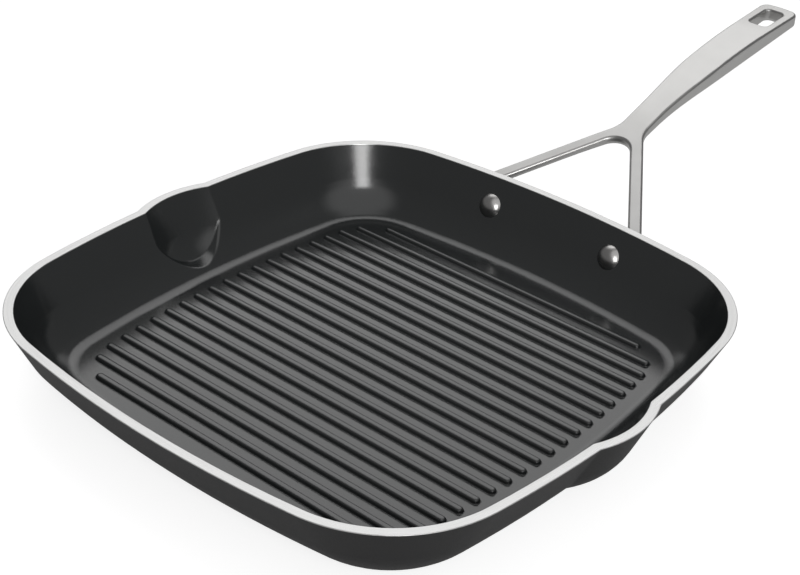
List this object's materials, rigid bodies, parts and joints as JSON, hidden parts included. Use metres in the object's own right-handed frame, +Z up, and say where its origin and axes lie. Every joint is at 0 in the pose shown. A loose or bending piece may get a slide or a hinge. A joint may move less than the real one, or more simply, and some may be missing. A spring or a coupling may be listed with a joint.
{
  "type": "grill pan",
  "caption": "Square ridged grill pan with two pouring lips and a long forked handle held by two rivets.",
  "frame": {"origin": "centre of the bowl's flat resting face, on the surface it stands on", "axes": "+Z up, +Y towards the handle, +X towards the right pouring lip"},
  "size_m": [0.2876, 0.4831, 0.0902],
  "materials": {
    "coated_aluminium": "black non-stick coating, silky inside and matt outside, with a bare ground rim",
    "handle_steel": "cast stainless steel, fine satin, smoother at the legs",
    "rivet_steel": "polished stainless steel"
  },
  "bodies": {
    "root": {"pan_body": "coated_aluminium", "handle": "handle_steel", "rivet_left": "rivet_steel", "rivet_right": "rivet_steel"}
  },
  "joints": []
}
